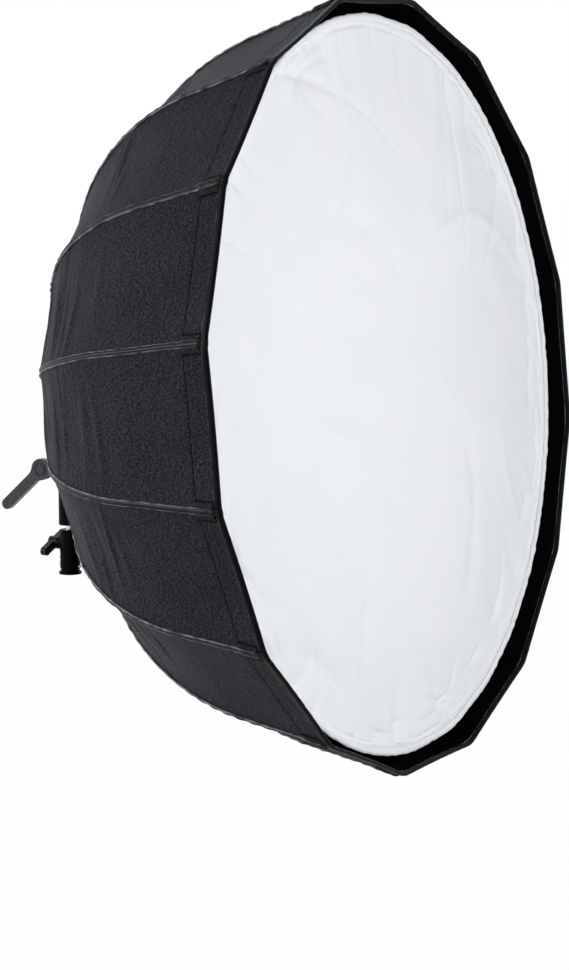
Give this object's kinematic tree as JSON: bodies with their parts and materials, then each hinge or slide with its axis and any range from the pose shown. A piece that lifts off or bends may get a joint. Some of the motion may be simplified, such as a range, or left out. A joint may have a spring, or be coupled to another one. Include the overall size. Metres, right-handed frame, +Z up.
{
  "type": "deep parabolic softbox on a tilting flash bracket",
  "caption": "Deep rod-framed round softbox with a recessed white diffuser, on a tilting bracket with a flash clamp and a stand socket.",
  "frame": {"origin": "centre of the stand socket's mouth, on the socket's axis", "axes": "+Z up along the socket, the softbox faces -Y with its front tilted up, +X across to the latch side"},
  "size_m": [0.8496, 0.5477, 0.846],
  "materials": {
    "panel_cloth": "textured black nylon with a silver lining",
    "tape_cloth": "smooth woven tape",
    "lip_cloth": "matt black cloth",
    "diffuser_cloth": "thin white diffusion cloth",
    "black_casting": "satin black coat on cast alloy",
    "ring_alloy": "satin turned alloy",
    "steel": "bright zinc-plated steel",
    "rod_steel": "drawn spring steel",
    "lever_plastic": "grey-black moulded nylon",
    "knob_plastic": "black moulded nylon",
    "rubber": "matt black rubber",
    "friction_disc": "fibre friction disc",
    "brass": "plain brass"
  },
  "bodies": {
    "stand_mount": {"stand_socket": "black_casting", "set_screw": "steel", "neck_stud": "steel", "yoke": "black_casting", "tilt_bolt": "steel", "bolt_nut_washer": "steel", "friction_washers": "friction_disc"},
    "lock_pad": {"lock_pad": "brass"},
    "lock_knob": {"lock_screw": "steel", "wing_knob": "knob_plastic"},
    "tilt_lever": {"tilt_lever": "lever_plastic", "lever_cap": "lever_plastic"},
    "clamp_jaw": {"clamp_jaw": "black_casting", "jaw_pad": "rubber"},
    "clamp_knob": {"clamp_spindle": "steel", "clamp_knob": "knob_plastic"},
    "ring_latch": {"ring_latch": "lever_plastic"},
    "tilt_head": {"tilt_arm": "black_casting", "arm_screws": "steel", "bracket_ring": "black_casting", "latch_housing": "black_casting", "lower_bar": "black_casting", "upper_bar": "black_casting", "guide_rods": "steel", "bar_screws": "steel", "fixed_jaw_pad": "rubber", "speed_ring": "ring_alloy", "bayonet_lugs": "ring_alloy", "rod_sockets": "ring_alloy", "socket_screws": "steel", "rods": "rod_steel", "rod_caps": "knob_plastic", "rod_pockets": "lip_cloth", "seam_tapes": "tape_cloth", "front_panels": "panel_cloth", "shoulder_panels": "panel_cloth", "waist_panels": "panel_cloth", "back_panels": "panel_cloth", "back_cuff": "tape_cloth", "rim_binding": "tape_cloth", "facing_band": "lip_cloth", "loop_tape": "lip_cloth", "diffuser_hem": "diffuser_cloth", "front_diffuser": "diffuser_cloth", "inner_diffuser": "diffuser_cloth", "baffle_hem": "diffuser_cloth", "baffle_straps": "tape_cloth", "strap_clips": "knob_plastic"}
  },
  "joints": [
    {"name": "tilt", "type": "hinge", "parent": "stand_mount", "child": "tilt_head", "pos_m": [0, 0, 0.133], "axis": [-1, 0, 0], "range_deg": [-35, 80]},
    {"name": "lever_turn", "type": "hinge", "parent": "stand_mount", "child": "tilt_lever", "pos_m": [0, 0, 0.133], "axis": [1, 0, 0], "range_deg": [-45, 45]},
    {"name": "pad_slide", "type": "slide", "parent": "stand_mount", "child": "lock_pad", "axis": [0, 1, 0], "range_m": [0, 0.00313]},
    {"name": "knob_turn", "type": "hinge", "parent": "lock_pad", "child": "lock_knob", "pos_m": [0, 0.02, 0.036], "axis": [0, 1, 0], "range_deg": [-9, 909]},
    {"name": "jaw_slide", "type": "slide", "parent": "tilt_head", "child": "clamp_jaw", "axis": [0, 0.0924, 0.9957], "range_m": [-0.016, 0.007]},
    {"name": "clamp_turn", "type": "hinge", "parent": "clamp_jaw", "child": "clamp_knob", "pos_m": [0, -0.00571, 0.25003], "axis": [0, 0.0924, 0.9957], "range_deg": [-2895, 1275]},
    {"name": "latch_slide", "type": "slide", "parent": "tilt_head", "child": "ring_latch", "axis": [0.866, 0.0462, 0.4979], "range_m": [0, 0.005], "stiffness_N_per_m": 500, "springref_m": -0.004}
  ],
  "couplings": [
    {"joint": "knob_turn", "follows": "pad_slide", "rad_per_m": 5026.5},
    {"joint": "clamp_turn", "follows": "jaw_slide", "rad_per_m": 3141.6}
  ]
}
